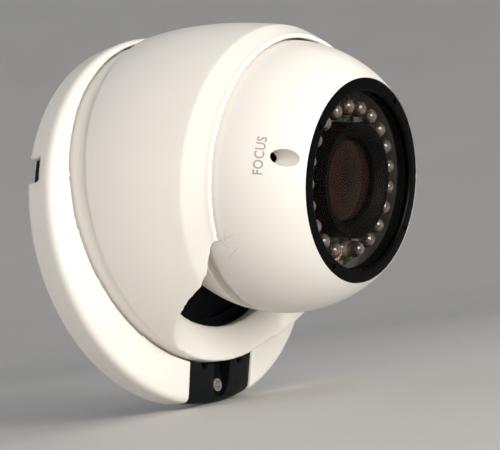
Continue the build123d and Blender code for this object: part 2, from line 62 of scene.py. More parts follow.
# ---------------------------------------------------------------------------
# Camera: a short telephoto low on the object's left, turned a little about
# its own line of sight, so that the dome is seen three-quarter from the front.
camera = bpy.data.objects.new("camera", bpy.data.cameras.new("camera"))
bpy.context.scene.collection.objects.link(camera)
bpy.context.scene.camera = camera
SIGHT = Vector((0.7784, 0.6191, 0.1039)).normalized()
UP = Vector((0.0078, -0.1751, 0.9845)).normalized()
RIGHT = SIGHT.cross(UP).normalized()
UP = RIGHT.cross(SIGHT)
STAND = (-0.2462, -0.2278, -0.0379)
FOCAL_LENGTH = 70.85
SHIFT_X, SHIFT_Y = 0.0058, -0.0095
camera.matrix_world = Matrix.Translation(STAND) @ Matrix((RIGHT, UP, -SIGHT)).transposed().to_4x4()
camera.data.lens = FOCAL_LENGTH
camera.data.sensor_width = 36.0
camera.data.shift_x = SHIFT_X
camera.data.shift_y = SHIFT_Y
camera.data.clip_start = 0.01

# ---------------------------------------------------------------------------
# Studio: a pale dish-shaped floor that rises far from the object, a big soft key light
# low in front, a warm fill from the left, a weak rim light above and an even sky.
def grid_mesh(name, points, close_u=False, close_v=False, cap_start=False, cap_end=False):
    """Mesh of a (u, v, 3) array of points in metres, one quad per cell.

    u runs round and v along; close_u or close_v joins the last row to the first, and a cap
    fills the first or last ring of v with one polygon.
    """
    count_u, count_v = points.shape[:2]
    index = np.arange(count_u * count_v).reshape(count_u, count_v)
    if close_u:
        index = np.concatenate([index, index[:1]], axis=0)
    if close_v:
        index = np.concatenate([index, index[:, :1]], axis=1)
    quads = np.stack([index[:-1, :-1], index[1:, :-1], index[1:, 1:], index[:-1, 1:]], axis=-1)
    faces = quads.reshape(-1, 4).tolist()
    if cap_start:
        faces.append(index[:count_u, 0][::-1].tolist())
    if cap_end:
        faces.append(index[:count_u, -1].tolist())
    mesh = bpy.data.meshes.new(name)
    mesh.from_pydata(points.reshape(-1, 3).tolist(), [], faces)
    mesh.polygons.foreach_set("use_smooth", np.ones(len(mesh.polygons), bool))
    mesh.update()
    piece = bpy.data.objects.new(name, mesh)
    bpy.context.scene.collection.objects.link(piece)
    return piece


class Wire:
    """A shader socket that takes Python arithmetic: each operation adds its Math node."""

    def __init__(self, paint, socket):
        self.paint = paint
        self.socket = socket

    def math(self, operation, *others):
        return self.paint.node("ShaderNodeMath", {"operation": operation}, (self, *others))

    def __add__(self, other):
        return self.math("ADD", other)

    __radd__ = __add__

    def __mul__(self, other):
        return self.math("MULTIPLY", other)

    __rmul__ = __mul__

    def __sub__(self, other):
        return self.math("SUBTRACT", other)

    def __rsub__(self, other):
        return self.paint.node("ShaderNodeMath", {"operation": "SUBTRACT"}, (other, self))

    def __lt__(self, other):
        return self.math("LESS_THAN", other)


class Paint:
    """One material, built up from wires."""

    def __init__(self, name):
        self.material = bpy.data.materials.new(name)
        self.material.use_nodes = True
        self.tree = self.material.node_tree
        self.tree.nodes.clear()

    def node(self, kind, settings=(), sockets=(), out=0):
        """Add a node: its settings first, then values or links by socket name or place."""
        made = self.tree.nodes.new(kind)
        for key, value in dict(settings).items():
            if key == "stops":
                ramp = made.color_ramp.elements
                while len(ramp) < len(value):
                    ramp.new(0.5)
                for element, (position, colour) in zip(ramp, value):
                    element.position = position
                    element.color = (*colour, 1.0) if len(colour) == 3 else colour
            else:
                setattr(made, key, value)
        pairs = sockets.items() if isinstance(sockets, dict) else enumerate(sockets)
        for key, value in pairs:
            if isinstance(value, Wire):
                self.tree.links.new(value.socket, made.inputs[key])
            elif isinstance(value, tuple) and made.inputs[key].type == "RGBA":
                made.inputs[key].default_value = (*value[:3], 1.0)
            else:
                made.inputs[key].default_value = value
        return Wire(self, made.outputs[out]) if made.outputs else None

    def place(self):
        return self.node("ShaderNodeTexCoord", out="Object")

    def noise(self, scale, detail=2.0, rough=0.5):
        sockets = {"Vector": self.place(), "Scale": scale, "Detail": detail, "Roughness": rough}
        return self.node("ShaderNodeTexNoise", sockets=sockets)

    def vector(self, operation, *others, out=0):
        return self.node("ShaderNodeVectorMath", {"operation": operation}, others, out=out)

    def ramp(self, value, *stops):
        return self.node("ShaderNodeValToRGB", {"stops": stops}, (value,))

    def mix(self, factor, one, other):
        """Colours one and other, mixed by a factor."""
        return self.node("ShaderNodeMix", {"data_type": "RGBA"}, {0: factor, 6: one, 7: other}, out=2)

    def step(self, value, low, high):
        """0 below low, 1 above high, straight between."""
        return self.node("ShaderNodeMapRange", sockets=(value, low, high, 0.0, 1.0))

    def bump(self, height, distance, strength):
        sockets = {"Height": height, "Distance": distance, "Strength": strength}
        return self.node("ShaderNodeBump", sockets=sockets)

    def finish(self, **sockets):
        """Principled surface; underscores in names stand for spaces."""
        named = {key.replace("_", " "): value for key, value in sockets.items()}
        surface = self.node("ShaderNodeBsdfPrincipled", sockets=named)
        self.node("ShaderNodeOutputMaterial", sockets=(surface,))
        return self.material


def wear(piece, material):
    """Give a piece its one material."""
    piece.data.materials.clear()
    piece.data.materials.append(material)


MM = 0.001
FLOOR_REACH = 3.0
FLOOR_FLAT = 0.9
FLOOR_RISE = 0.55
FLOOR_GAP = 0.2 * MM
turns = np.linspace(0, 2 * np.pi, 96, endpoint=False)[:, None]
reach = np.linspace(0.0, 1.0, 40)[None, :] ** 1.5 * FLOOR_REACH
rise = np.clip(reach - FLOOR_FLAT, 0, None) ** 2 * FLOOR_RISE
floor_level = cad_box[0].z - FLOOR_GAP
floor = grid_mesh("floor", np.stack(
    [reach * np.cos(turns), reach * np.sin(turns), floor_level + rise + 0 * turns], axis=-1), close_u=True)
pale = Paint("pale_floor")
wear(floor, pale.finish(
    Base_Color=pale.mix(pale.noise(6.0, 3.0), (0.74, 0.73, 0.72), (0.80, 0.79, 0.78)), Roughness=0.75))

SKY_STRENGTH = 0.34
world = bpy.data.worlds.new("sky")
bpy.context.scene.world = world
world.use_nodes = True
world.node_tree.nodes["Background"].inputs["Color"].default_value = (0.95, 0.97, 1.0, 1.0)
world.node_tree.nodes["Background"].inputs["Strength"].default_value = SKY_STRENGTH


def soft_light(name, direction, distance, size, power, colour):
    """A square area light that looks at the object from a direction."""
    light = bpy.data.lights.new(name, "AREA")
    light.size = size
    light.energy = power
    light.color = colour
    lamp = bpy.data.objects.new(name, light)
    bpy.context.scene.collection.objects.link(lamp)
    way = Vector(direction).normalized()
    lamp.location = way * distance
    lamp.rotation_euler = way.to_track_quat("Z", "Y").to_euler()


soft_light("key", (-0.30, -1.0, 0.10), 0.9, 0.5, 9.4, (1.0, 0.955, 0.87))
soft_light("fill", (-1.0, -0.15, -0.05), 1.2, 0.8, 2.2, (1.0, 0.87, 0.87))
soft_light("rim", (0.6, -0.2, 0.9), 1.0, 0.5, 0.4, (1.0, 0.96, 0.9))

# ---------------------------------------------------------------------------
# Trim ring: die-cast cover ring with satin white powder coat over it, offset hole for
# the drum, window for the lock block and a small pry notch at its left rim.
# Three frames come from the joints, the wall's, the drum's and the ball's: x towards the
# lock screw, y along +X and z out along the axis. Sizes are in millimetres.
joints = {joint["name"]: joint for joint in frame["joints"]}


class Axes:
    """A frame for shapes in millimetres; its points come out in metres."""

    def __init__(self, origin, out):
        self.origin = np.array(origin, float)
        self.z = np.array(out, float) / np.linalg.norm(out)
        self.y = np.array((1.0, 0.0, 0.0))
        self.x = np.cross(self.y, self.z)

    def at(self, x, y, z):
        x, y, z = np.broadcast_arrays(x, y, z)
        local = x[..., None] * self.x + y[..., None] * self.y + z[..., None] * self.z
        return self.origin + local * MM

    def round(self, radius, angle, z):
        """Points at a radius and an angle from x."""
        return self.at(radius * np.cos(angle), radius * np.sin(angle), z)


WALL = Axes((0, 0, 0), joints["pan"]["axis"])
DRUM = Axes(joints["pan"]["pos_m"], joints["pan"]["axis"])
BALL = Axes(joints["roll"]["pos_m"], joints["roll"]["axis"])


def rounded(points, radii, steps=5):
    """Closed outline with its corners turned to arcs.

    Each corner becomes a quadratic curve between the points that far along its two edges.
    """
    points = np.array(points, float)
    radii = np.broadcast_to(radii, len(points))
    before = np.roll(points, 1, axis=0) - points
    after = np.roll(points, -1, axis=0) - points
    cut = np.array(radii, float)[:, None]
    start = points + before / np.linalg.norm(before, axis=1)[:, None] * cut
    end = points + after / np.linalg.norm(after, axis=1)[:, None] * cut
    t = np.linspace(0, 1, steps)[None, :, None]
    curve = (1 - t) ** 2 * start[:, None] + 2 * t * (1 - t) * points[:, None] + t ** 2 * end[:, None]
    return curve.reshape(-1, 2)


def turned(name, axes, outline, count=144):
    """Closed outline of (radius, height) points swept round an axis."""
    angle = np.linspace(0, 2 * np.pi, count, endpoint=False)[:, None]
    outline = np.array(outline)
    points = axes.round(outline[None, :, 0], angle, outline[None, :, 1])
    return outward(grid_mesh(name, points, close_u=True, close_v=True))


def outward(piece):
    """Turn a closed piece's faces to look outward."""
    mesh = piece.data
    mesh.calc_loop_triangles()
    place = np.zeros(len(mesh.vertices) * 3)
    mesh.vertices.foreach_get("co", place)
    corner = np.zeros(len(mesh.loop_triangles) * 3, int)
    mesh.loop_triangles.foreach_get("vertices", corner)
    tri = place.reshape(-1, 3)[corner.reshape(-1, 3)]
    volume = np.einsum("ij,ij->i", tri[:, 0], np.cross(tri[:, 1], tri[:, 2])).sum()
    if volume < 0:
        mesh.flip_normals()
    return piece


def prism(name, axes, outline, low, high, swap=False):
    """Closed outline in a frame's x and y, or with swap in y and z, drawn out along the third."""
    outline = np.array(outline, float)
    ends = np.array((low, high), float)
    first, second, along = outline[:, None, 0], outline[:, None, 1], ends[None, :]
    points = axes.at(along, first, second) if swap else axes.at(first, second, along)
    return outward(grid_mesh(name, points, close_u=True, cap_start=True, cap_end=True))


def circle(radius, x=0.0, y=0.0, count=64):
    angle = np.linspace(0, 2 * np.pi, count, endpoint=False)
    return np.stack([x + radius * np.cos(angle), y + radius * np.sin(angle)], axis=-1)


def apply_modifier(piece, kind, **settings):
    """Put one modifier's result into the mesh."""
    modifier = piece.modifiers.new(kind.lower(), kind)
    for key, value in settings.items():
        setattr(modifier, key, value)
    shape = bpy.data.meshes.new_from_object(piece.evaluated_get(bpy.context.evaluated_depsgraph_get()))
    piece.modifiers.clear()
    piece.data = shape
    shape.name = piece.name


def cut(piece, *tools):
    """Take tools away from a piece, then throw them away."""
    for tool in tools:
        apply_modifier(piece, "BOOLEAN", operation="DIFFERENCE", object=tool, solver="EXACT")
        bpy.data.objects.remove(tool)


def recast(piece, voxel, passes, soften=None, extra=0, keep=1.0):
    """Remesh a piece on an even grid and soften it, as cast and painted metal is.

    soften gives a weight from 0 to 1 for each point, and the extra passes follow it.
    """
    apply_modifier(piece, "REMESH", mode="VOXEL", voxel_size=voxel * MM, use_smooth_shade=True)
    apply_modifier(piece, "SMOOTH", factor=0.5, iterations=passes)
    if soften:
        place = np.zeros(len(piece.data.vertices) * 3)
        piece.data.vertices.foreach_get("co", place)
        chosen = np.flatnonzero(soften(place.reshape(-1, 3)))
        piece.vertex_groups.new(name="soft").add(chosen.tolist(), 1.0, "REPLACE")
        apply_modifier(piece, "SMOOTH", factor=0.5, iterations=extra, vertex_group="soft")
    if keep < 1.0:
        apply_modifier(piece, "DECIMATE", ratio=keep)
    piece.data.polygons.foreach_set("use_smooth", np.ones(len(piece.data.polygons), bool))


def fit(piece, body, material, slot, *nodes):
    """Finish a new piece: its material, its body and the nodes it stands for; slot is not used."""
    wear(piece, material)
    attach(piece, body)
    if nodes:
        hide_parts(*nodes)
    return piece


HAIRLINE = 0.05 * MM


def white_paint(name, scuffs=()):
    """Satin powder coat: faint orange peel, slight tone patches and short hairline scuffs."""
    paint = Paint(name)
    tone = paint.noise(35.0, 4.0, 0.6)
    dust = paint.ramp(paint.noise(900.0, 3.0, 0.7), (0.70, (0, 0, 0)), (0.78, (1, 1, 1)))
    colour = paint.mix(tone, (0.90, 0.875, 0.83), (0.86, 0.84, 0.80))
    colour = paint.mix(dust * 0.10, colour, (0.55, 0.52, 0.48))
    scratch = 0.0
    for centre, across, half in scuffs:
        away = paint.vector("SUBTRACT", paint.place(), tuple(centre))
        side = paint.vector("DOT_PRODUCT", away, tuple(across), out="Value")
        far = paint.vector("LENGTH", away, out="Value")
        line = (side.math("ABSOLUTE") < HAIRLINE) * (far < half * MM)
        scratch = line + scratch
    if scuffs:
        colour = paint.mix(scratch * 0.55, colour, (0.30, 0.28, 0.26))
    rough = paint.noise(160.0, 3.0) * 0.14 + 0.30
    peel = paint.noise(1400.0, 2.0, 0.5)
    normal = paint.bump(peel, 0.00002, 0.35)
    return paint.finish(Base_Color=colour, Roughness=rough, Normal=normal,
                        Coat_Weight=0.12, Coat_Roughness=0.18)


ring_low, ring_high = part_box("trim_ring")
RING_RADIUS = (ring_high.x - ring_low.x) / 2 / MM
RING_EDGE = 10.6
SLOPE = 0.26
RING_WALL = 2.4
RING_INNER = 45.5
FOOT_HOLE = 54.8
WINDOW = 15.4


def ring_height(radius):
    """Height of the ring's sloping front face at a radius."""
    return RING_EDGE + SLOPE * (RING_RADIUS - radius)


ring = turned("trim_ring_painted", WALL, rounded([
    (RING_RADIUS - RING_WALL, 0.4), (RING_RADIUS, 0.4), (RING_RADIUS, RING_EDGE),
    (RING_INNER, ring_height(RING_INNER)), (RING_INNER, ring_height(RING_INNER) - 2.2),
    (RING_RADIUS - RING_WALL, ring_height(RING_RADIUS) - 1.6)],
    (0.3, 0.3, 2.4, 0.3, 0.3, 0.3)), 240)
NOTCH = np.radians(-104.5)
notch_turn = np.array(((np.cos(NOTCH), np.sin(NOTCH)), (-np.sin(NOTCH), np.cos(NOTCH))))
notch_outline = np.array(((56, -3.6), (70, -4.2), (70, 4.2), (56, 3.6))) @ notch_turn
notch = prism("notch_tool", WALL, notch_outline, -1, 5)
cut(ring, prism("hole_tool", DRUM, circle(FOOT_HOLE, count=180), -5, 40),
    prism("window_tool", WALL, ((40, -WINDOW), (75, -WINDOW), (75, WINDOW), (40, WINDOW)), -5, 40), notch)
recast(ring, 0.45, 4)
fit(ring, "base", white_paint("paint_ring"), "white_paint", "trim_ring")

# ---------------------------------------------------------------------------
# Drum: painted casting that leans from a round foot to a tilted mouth, with a soft
# shoulder, a narrow lip round the ball and a U-shaped scoop that lets the lens tilt.
BALL_HEIGHT = 49.2
BORE = 42.9
RIDGE = 55.1
SHOULDER = 48.2
LIP = 43.9
LIP_HEIGHT = 6.0
COLLAR_HEIGHT = 7.0
SHOULDER_SHIFT = 1.5
WAIST_HEIGHT = 33.744
angle = np.linspace(0, 2 * np.pi, 240, endpoint=False)
WAIST_TILT = np.radians(6.3)
ridge = DRUM.round(RIDGE, angle, 19.0)
middle = DRUM.at(0, 0, WAIST_HEIGHT) + np.array((0, 0, -0.3 * MM))
waist_axes = Axes(middle, (0, -np.cos(WAIST_TILT), -np.sin(WAIST_TILT)))
waist = waist_axes.round((RIDGE + SHOULDER) / 2 + 1.0, angle, 0)
shoulder = BALL.at(SHOULDER_SHIFT + SHOULDER * np.cos(angle), SHOULDER * np.sin(angle), 0.5)
lip = BALL.round(LIP, angle, LIP_HEIGHT)


def through(start, middle, end, count, where=0.52):
    """Rings on the parabola that runs through three rings point by point."""
    t = np.linspace(0, 1, count)[:, None, None]
    return (start * (t - where) * (t - 1) / where + middle * t * (t - 1) / (where * (where - 1))
            + end * t * (t - where) / (1 - where))


def along_bore(edge, low, count):
    """Rings down the bore: on the ball's clearance sphere, then on a straight cylinder."""
    local = (edge - DRUM.origin) / MM
    height = local @ DRUM.z
    turn = np.arctan2(local @ DRUM.y, local @ DRUM.x)
    level = height + np.linspace(0, 1, count)[:, None] * (low - height)
    radius = np.sqrt(BORE ** 2 - np.clip(level - BALL_HEIGHT, 0, None) ** 2)
    return DRUM.round(radius, turn, level)


inner_edge = BALL.round(np.sqrt(BORE ** 2 - COLLAR_HEIGHT ** 2), angle, COLLAR_HEIGHT)
FOOT = ((50.9, 8.7), (46.2, 8.7), (46.2, 5.4), (54.2, 5.4), (54.2, 18.1), (54.6, 18.35), (55.0, 18.6))
foot = [DRUM.round(radius, angle, height) for radius, height in FOOT]
skin = through(ridge, waist, shoulder, 34)
band = np.linspace(0, 1, 9)[1:, None, None]
bevel = shoulder + band * (lip - shoulder)
COLLAR = ((43.85, 6.5), (43.6, 6.95), (42.9, 7.1))
collar = [BALL.round(radius, angle, height) for radius, height in COLLAR]
SLEEVE_BOTTOM = 11.6
SLEEVE_RADIUS = 50.9
bore = along_bore(inner_edge, SLEEVE_BOTTOM, 24)
rings = np.concatenate([np.stack(foot), skin, bevel, np.stack(collar), bore,
                        DRUM.round(SLEEVE_RADIUS, angle, SLEEVE_BOTTOM)[None]])
drum = outward(grid_mesh("drum_painted", rings.transpose(1, 0, 2), close_u=True, close_v=True))
SCOOP = rounded([(-37.0, 16.7), (-37.0, 44.0), (-44.0, 60), (44.0, 60), (37.0, 44.0), (37.0, 16.7)],
                (25.4, 1.8, 0.1, 0.1, 1.8, 25.4), 24)
cut(drum, prism("scoop_tool", DRUM, SCOOP, 20, 80, swap=True))


SOFT_BAND = 1.6
SCOOP_SIDE = 18.0


def near_scoop(points):
    """Points close to the scoop's outline, on its side of the drum."""
    local = (points - DRUM.origin) / MM
    spot = np.stack([local @ DRUM.y, local @ DRUM.z], axis=-1)
    start, end = SCOOP, np.roll(SCOOP, -1, axis=0)
    way = end - start
    along = np.einsum("pij,ij->pi", spot[:, None] - start, way) / (way ** 2).sum(1)
    foot = start + np.clip(along, 0, 1)[..., None] * way
    gap = np.linalg.norm(spot[:, None] - foot, axis=2).min(1)
    return (gap < SOFT_BAND) & (local @ DRUM.x > SCOOP_SIDE)


recast(drum, 0.5, 5, near_scoop, 14, 0.54)
fit(drum, "drum", white_paint("paint_drum"), "white_paint", "drum_shell")

# ---------------------------------------------------------------------------
# Lock block and screw: black moulded block in the ring's window, with a U-shaped
# recess round a plated hexagon-socket screw.
def black_plastic(name, colour=(0.0045, 0.0055, 0.0065), rough=0.34, shine=0.12):
    """Moulded black plastic: fine spark-eroded grain and a little uneven gloss."""
    paint = Paint(name)
    tone = paint.mix(paint.noise(220.0, 3.0), colour, tuple(c * 1.5 for c in colour))
    gloss = paint.noise(500.0, 3.0) * 0.16 + (rough - 0.06)
    return paint.finish(Base_Color=tone, Roughness=gloss,
                        Normal=paint.bump(paint.noise(5200.0, 1.0), 0.00001, 0.3), Specular_IOR_Level=shine)


def plated_steel(name, colour=(0.62, 0.60, 0.57)):
    """Nickel-plated steel with turned marks and slight tarnish."""
    paint = Paint(name)
    tarnish = paint.noise(900.0, 3.0)
    tone = paint.mix(tarnish, colour, tuple(c * 0.7 for c in colour))
    return paint.finish(Base_Color=tone, Metallic=1.0, Roughness=tarnish * 0.2 + 0.18,
                        Normal=paint.bump(paint.noise(4000.0, 2.0), 0.00001, 0.4))


def soft_edges(piece, width, segments=2, angle=35):
    """Weld, bevel and even out the shading of a piece made of flats and turned faces."""
    weld = piece.modifiers.new("weld", "WELD")
    weld.merge_threshold = 0.002 * MM
    bevel = piece.modifiers.new("bevel", "BEVEL")
    bevel.width = width * MM
    bevel.segments = segments
    bevel.limit_method = "ANGLE"
    bevel.angle_limit = np.radians(angle)
    bevel.harden_normals = True


steel = plated_steel("plated_steel")
block_paint = black_plastic("block_black")
wear(frame["nodes"]["lock_block"], block_paint)
soft_edges(frame["nodes"]["lock_block"], 0.3, 3)
wear(frame["nodes"]["lock_screw"], steel)
soft_edges(frame["nodes"]["lock_screw"], 0.12, 2)

# ---------------------------------------------------------------------------
# Base: black glass-filled plate against the wall, with its chassis plate behind the drum.
wear(frame["nodes"]["mounting_base"], black_plastic("base_black", (0.005, 0.006, 0.010), 0.42))
soft_edges(frame["nodes"]["mounting_base"], 0.3, 2)
metal = plated_steel("chassis_zinc", (0.50, 0.50, 0.49))
wear(frame["nodes"]["inner_frame"], metal)
# Painted shade: the pan chassis is given near-black plastic in place of its metal, so the hollow inside the
# drum reads as dark shade.
wear(frame["nodes"]["pan_chassis"], black_plastic("chassis_painted_shade_black", (0.006, 0.006, 0.010), 0.5))
for name in ("pan_retainers", "pan_screws", "ball_screws", "adjuster_guides", "board_standoffs",
             "board_screws", "focus_adjuster", "zoom_adjuster"):
    wear(frame["nodes"][name], steel)
    soft_edges(frame["nodes"][name], 0.08, 2)


def rubber(name, colour=(0.0022, 0.0020, 0.0019)):
    """Soft black rubber with a dusty bloom."""
    paint = Paint(name)
    bloom = paint.noise(700.0, 4.0, 0.7)
    return paint.finish(Base_Color=paint.mix(bloom, colour, (0.004, 0.004, 0.004)),
                        Roughness=bloom * 0.25 + 0.4, Specular_IOR_Level=0.05)


black_rubber = rubber("black_rubber")
for name in ("cable_grommet", "ball_seat", "rear_grommet", "window_gasket"):
    wear(frame["nodes"][name], black_rubber)

# ---------------------------------------------------------------------------
# Ball: painted front and rear shells; the front one has the bezel's seat and two
# ports, bored along the lens, that show the focus and zoom adjusters inside.
BALL_RADIUS = 42.2
BEZEL_RADIUS = 30.0
PORT_CIRCLE = 33.9
PORT_TURN = np.radians(99.0)
PORT_BORE = 2.4
GROOVE = 2.3
seat = np.sqrt(BALL_RADIUS ** 2 - (BEZEL_RADIUS + 0.1) ** 2)


def shell(name, start, end, inside, count_u=288, count_v=110):
    """Sphere zone between two heights along the lens, closed by an inner outline."""
    polar = np.linspace(np.arccos(start / BALL_RADIUS), np.arccos(end / BALL_RADIUS), count_v)
    outline = np.stack([BALL_RADIUS * np.sin(polar), BALL_RADIUS * np.cos(polar)], axis=-1)
    return turned(name, BALL, np.concatenate([outline, np.array(inside, float)]), count_u)


front = shell("ball_front_painted", GROOVE, seat, (
    (30.08, 29.6), (30.08, 24.8), (29.0, 24.8), (35.5, 13.0), (37.8, 3.0), (37.8, 0.1),
    (39.6, 0.1), (39.6, GROOVE)))
rear = shell("ball_rear_painted", -29.6, -GROOVE, (
    (39.6, -GROOVE), (39.6, -0.1), (37.8, -0.1), (36.6, -8.0), (27.0, -27.2), (6.0, -27.2),
    (6.0, -30.0), (29.0, -30.0)))
for side in (-1, 1):
    x, y = PORT_CIRCLE * np.cos(side * PORT_TURN), PORT_CIRCLE * np.sin(side * PORT_TURN)
    cut(front, prism("port_tool", BALL, circle(PORT_BORE, x, y), 5, 60))


def sphere_shading(piece):
    """Give the loops that lie on the outer sphere their exact normals."""
    mesh = piece.data
    place = np.zeros(len(mesh.vertices) * 3)
    mesh.vertices.foreach_get("co", place)
    corner = np.zeros(len(mesh.loops), int)
    mesh.loops.foreach_get("vertex_index", corner)
    normal = np.zeros(len(mesh.loops) * 3)
    mesh.corner_normals.foreach_get("vector", normal)
    normal = normal.reshape(-1, 3)
    starts = np.zeros(len(mesh.polygons), int)
    mesh.polygons.foreach_get("loop_start", starts)
    totals = np.zeros(len(mesh.polygons), int)
    mesh.polygons.foreach_get("loop_total", totals)
    facing = np.zeros(len(mesh.polygons) * 3)
    mesh.polygons.foreach_get("normal", facing)
    facing = np.repeat(facing.reshape(-1, 3), totals, axis=0)
    radial = place.reshape(-1, 3)[corner] - BALL.origin
    length = np.linalg.norm(radial, axis=1)
    radial = radial / length[:, None]
    outer = (np.abs(length - BALL_RADIUS * MM) < 0.00002) & (np.einsum("ij,ij->i", radial, facing) > 0.96)
    normal = np.where(outer[:, None], radial, facing)
    mesh.normals_split_custom_set(normal.tolist())


sphere_shading(front)
sphere_shading(rear)


def on_ball(azimuth, depth):
    """Point on the ball at an angle from the scoop side and a height along the lens, in metres."""
    return BALL.round(np.sqrt(BALL_RADIUS ** 2 - depth ** 2), np.radians(azimuth), depth)


def scuff(azimuth, depth, lean, half):
    """A hairline through a point of the ball: its centre, the direction across it and half its length."""
    centre = on_ball(azimuth, depth)
    radial = (centre - BALL.origin) / (BALL_RADIUS * MM)
    level = np.cross(BALL.z, radial)
    level /= np.linalg.norm(level)
    steep = np.cross(radial, level)
    across = np.cos(np.radians(lean)) * level + np.sin(np.radians(lean)) * steep
    return centre, across, half


ball_paint = white_paint("paint_ball", (
    scuff(-64, 7.5, 20, 4.0), scuff(-63, 7.0, -50, 2.6), scuff(-66, 8.6, 75, 2.0), scuff(-58, 9.5, 40, 3.0)))
fit(front, "ball", ball_paint, "white_paint", "ball_front_shell")
fit(rear, "ball", ball_paint, "white_paint", "ball_rear_shell")

# ---------------------------------------------------------------------------
# Legends: generic words pad-printed in grey beside the two ports, a thin raised film.
legend_paint = Paint("legend_grey")
ink = legend_paint.noise(1500.0, 3.0)
legend_grey = legend_paint.finish(Base_Color=legend_paint.mix(ink, (0.34, 0.33, 0.32), (0.45, 0.44, 0.42)),
                                  Roughness=ink * 0.2 + 0.4)
LEGEND_DEPTH = 18.9
LEGEND_HEIGHT = 2.7
LEGEND_LENGTH = 10.4
FILM = 0.05
for word, side in (("FOCUS", -1), ("ZOOM", 1)):
    letters = bpy.data.curves.new(word.lower() + "_text", "FONT")
    letters.body = word
    letters.size = LEGEND_HEIGHT / 0.70
    letters.space_character = 1.08
    letters.offset = 0.05
    letters.resolution_u = 4
    letters.align_x = "CENTER"
    writing = bpy.data.objects.new(word.lower() + "_text", letters)
    bpy.context.scene.collection.objects.link(writing)
    flat = bpy.data.meshes.new_from_object(writing.evaluated_get(bpy.context.evaluated_depsgraph_get()))
    bpy.data.objects.remove(writing)
    spots = np.zeros(len(flat.vertices) * 3)
    flat.vertices.foreach_get("co", spots)
    spots = spots.reshape(-1, 3)
    polar = np.arccos(LEGEND_DEPTH / BALL_RADIUS) + (spots[:, 1] - LEGEND_HEIGHT / 2) / BALL_RADIUS
    spread = BALL_RADIUS * np.sin(np.arccos(LEGEND_DEPTH / BALL_RADIUS))
    stretch = LEGEND_LENGTH * len(word) / 5 / np.ptp(spots[:, 0])
    turn = side * np.radians(98.5) - spots[:, 0] * stretch / spread
    radius = BALL_RADIUS + FILM
    wrapped = BALL.round(radius * np.sin(polar), turn, radius * np.cos(polar))
    flat.vertices.foreach_set("co", wrapped.ravel())
    flat.name = word.lower() + "_legend"
    legend = bpy.data.objects.new(word.lower() + "_legend", flat)
    bpy.context.scene.collection.objects.link(legend)
    fit(legend, "ball", legend_grey, "white_paint")

# ---------------------------------------------------------------------------
# Bezel: black turned ring screwed into the ball, polished front, four spanner holes.
BEZEL_FRONT = 29.6
GLASS_FRONT = 28.6
bezel = turned("bezel_black", BALL, rounded([
    (27.7, 24.9), (30.0, 24.9), (30.0, BEZEL_FRONT), (26.7, BEZEL_FRONT), (26.1, BEZEL_FRONT - 0.5),
    (26.1, GLASS_FRONT + 0.05), (27.7, GLASS_FRONT + 0.05)], (0.1, 0.1, 0.5, 0.3, 0.2, 0.05, 0.05)), 192)
SPANNER_CIRCLE = 28.3
SPANNER_RADIUS = 0.8
for spanner in np.radians((60, 150, 240, 330)):
    x, y = SPANNER_CIRCLE * np.cos(spanner), SPANNER_CIRCLE * np.sin(spanner)
    cut(bezel, prism("spanner_tool", BALL, circle(SPANNER_RADIUS, x, y, 24), 28, 32))
soft_edges(bezel, 0.12, 2, 50)
bezel_gloss = black_plastic("bezel_gloss", (0.0014, 0.0015, 0.0016), 0.26, 0.045)
fit(bezel, "ball", bezel_gloss, "bezel_black", "bezel_ring")

# ---------------------------------------------------------------------------
# Window: flat clear glass, lost but for its reflections.
pane = Paint("window_glass")
clear = pane.node("ShaderNodeBsdfTransparent", sockets={"Color": (0.93, 0.93, 0.92)})
mirror = pane.node("ShaderNodeBsdfGlossy", sockets={"Color": (1.0, 1.0, 1.0), "Roughness": 0.02})
away = pane.node("ShaderNodeLayerWeight", sockets=(0.5,), out="Facing")
smear = pane.noise(60.0, 3.0) * 0.002 + 0.001
surface = pane.node("ShaderNodeMixShader", sockets=(away.math("POWER", 5.0) * 0.10 + smear, clear, mirror))
pane.node("ShaderNodeOutputMaterial", sockets=(surface,))
wear(frame["nodes"]["window_glass"], pane.material)

# ---------------------------------------------------------------------------
# Infrared board: green solder mask with copper glints, a ring of domed epoxy emitters
# with a painted reflection in their bright cups, painted shade in the domes above and a
# painted highlight on their crowns, and the daylight sensor at the bottom.
mask = Paint("board_green")
patches = mask.noise(420.0, 3.0, 0.7)
traces = mask.ramp(mask.noise(1100.0, 1.0), (0.54, (0, 0, 0)), (0.58, (1, 1, 1)))
green = mask.mix(patches, (0.010, 0.045, 0.022), (0.03, 0.085, 0.035))
board_green = mask.finish(Base_Color=mask.mix(traces * 0.6, green, (0.42, 0.30, 0.20)),
                          Roughness=patches * 0.2 + 0.25)
wear(frame["nodes"]["led_board"], board_green)
wear(frame["nodes"]["sensor_board"], board_green)

LED_RADIUS = 2.5
LED_COUNT = 21
LED_CIRCLE = 21.7
LED_FLANGE = LED_RADIUS + 0.4
BOARD_FRONT = 19.0
DOME = 23.6
dome_angle = np.linspace(0, np.pi / 2, 9)
led_outline = np.concatenate([
    np.array(((0.0, BOARD_FRONT + 0.05), (LED_FLANGE, BOARD_FRONT + 0.05), (LED_FLANGE, BOARD_FRONT + 1),
              (LED_RADIUS, BOARD_FRONT + 1))),
    np.stack([LED_RADIUS * np.cos(dome_angle), DOME + LED_RADIUS * np.sin(dome_angle)], axis=-1)])


